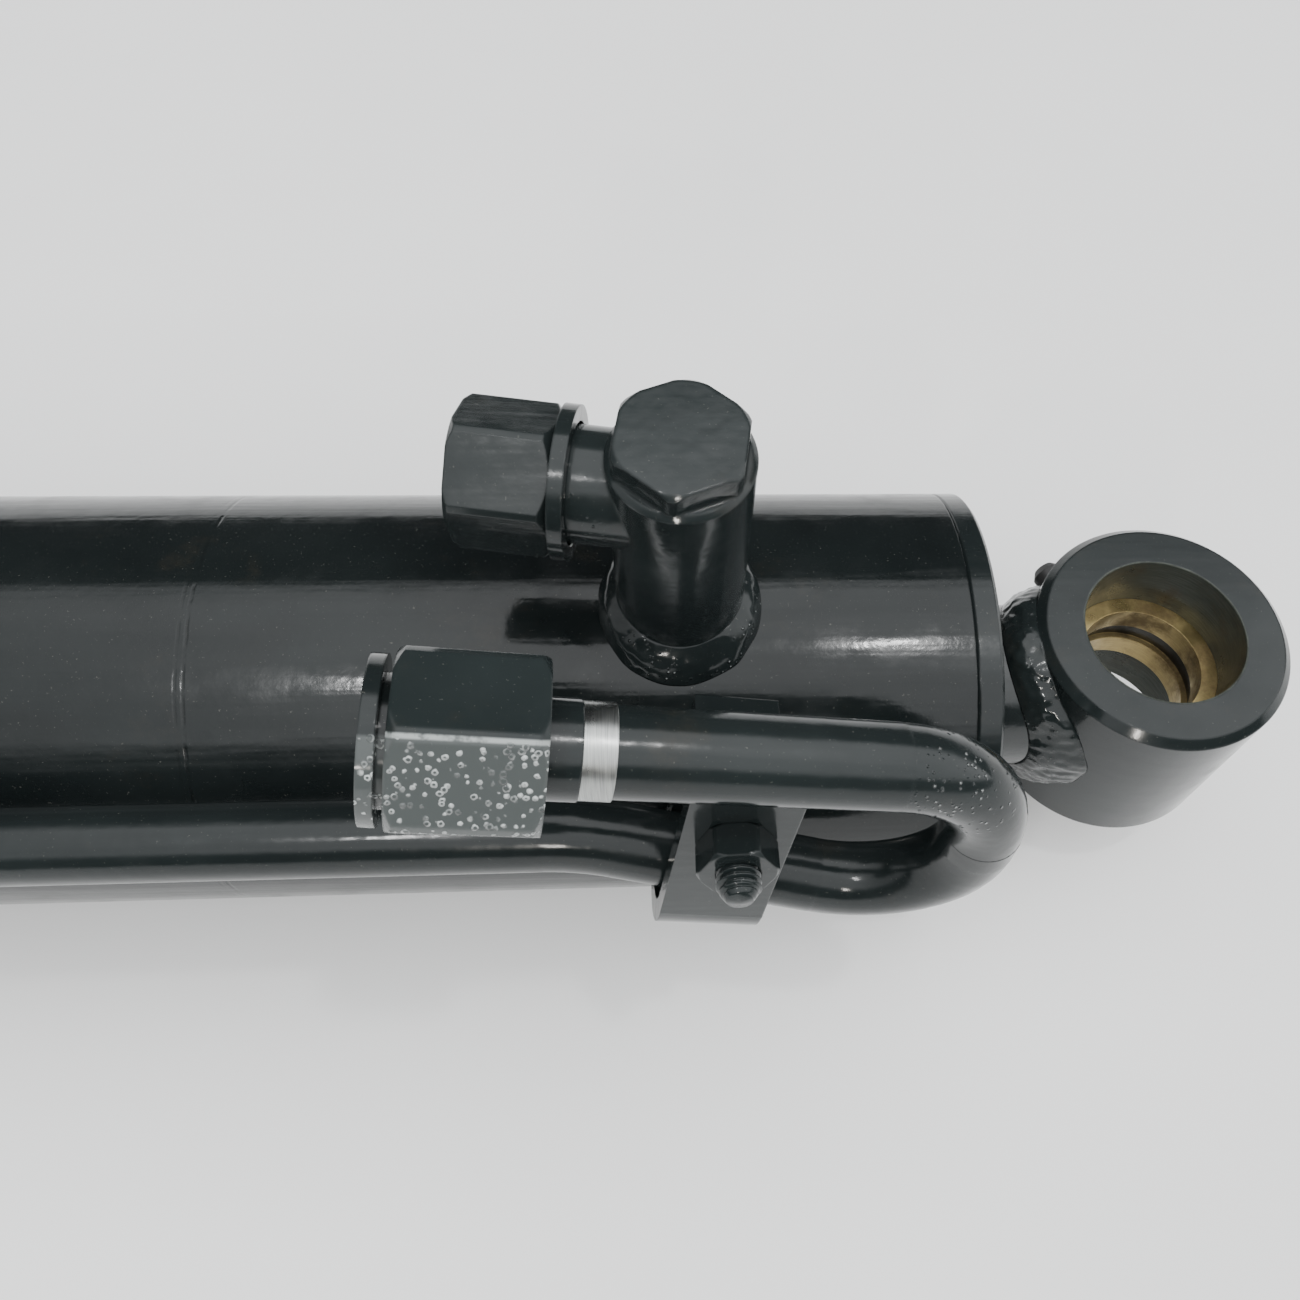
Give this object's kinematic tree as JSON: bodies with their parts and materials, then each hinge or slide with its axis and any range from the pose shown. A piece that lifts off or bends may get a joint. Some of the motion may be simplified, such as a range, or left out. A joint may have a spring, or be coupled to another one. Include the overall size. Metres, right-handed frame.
{
  "type": "hydraulic cylinder",
  "caption": "Painted double-acting hydraulic cylinder with bushed pin eyes, a swivel elbow port and a hooked return pipe clamped along the barrel.",
  "frame": {"origin": "centre of the base eye's bore, half way along the bore", "axes": "+X along the cylinder towards the rod eye, +Z along the base eye's bore on the side of the ports, +Y completes a right-handed frame"},
  "size_m": [0.772, 0.1207, 0.1528],
  "materials": {
    "paint": "dark slate grey gloss enamel with slight orange peel",
    "plated_steel": "bright zinc plate",
    "machined_steel": "turned, oiled",
    "chrome": "ground and polished hard chrome",
    "bronze": "bored bronze with a grease film",
    "black_rubber": "matte",
    "seal": "smooth polyurethane",
    "plug_plastic": "moulded polyethylene"
  },
  "bodies": {
    "barrel": {"barrel_tube": "paint", "base_cap": "paint", "base_cap_weld": "paint", "base_eye": "paint", "base_eye_weld": "paint", "base_bush": "bronze", "base_nipple": "plated_steel", "base_nipple_cap": "black_rubber", "gland": "paint", "gland_oring": "black_rubber", "gland_backup_ring": "plug_plastic", "guide_bush": "bronze", "buffer_seal": "seal", "rod_seal": "seal", "wiper_seal": "seal", "port_elbow": "paint", "elbow_weld": "paint", "base_port_block": "paint", "base_port_weld": "paint", "oil_pipe": "paint", "pipe_weld": "paint", "pipe_sleeve": "paint", "bare_band": "plated_steel", "front_bracket": "paint", "front_plate": "paint", "front_stud": "paint", "front_nut": "paint", "mid_bracket": "paint", "mid_plate": "paint", "mid_stud": "paint", "mid_nut": "paint"},
    "rod": {"rod": "chrome", "rod_eye": "paint", "rod_eye_weld": "paint", "rod_bush": "bronze", "rod_nipple": "plated_steel", "rod_nipple_cap": "black_rubber", "piston": "machined_steel", "piston_seal": "seal", "wear_rings": "bronze", "piston_oring": "black_rubber", "piston_nut": "machined_steel"},
    "elbow_nut": {"elbow_nut": "paint", "elbow_plug": "plug_plastic"},
    "tube_nut": {"tube_nut": "paint", "tube_plug": "plug_plastic"}
  },
  "joints": [
    {"name": "rod_slide", "type": "slide", "parent": "barrel", "child": "rod", "axis": [1, 0, 0], "range_m": [0, 0.45]},
    {"name": "elbow_nut_spin", "type": "hinge", "parent": "barrel", "child": "elbow_nut", "pos_m": [0.56879, -0.0018, 0.08558], "axis": [-0.9903, 0.1388, 0.0097], "continuous": true},
    {"name": "tube_nut_spin", "type": "hinge", "parent": "barrel", "child": "tube_nut", "pos_m": [0.56533, -0.055, 0.08834], "axis": [-0.985, 0, 0.1724], "continuous": true}
  ]
}
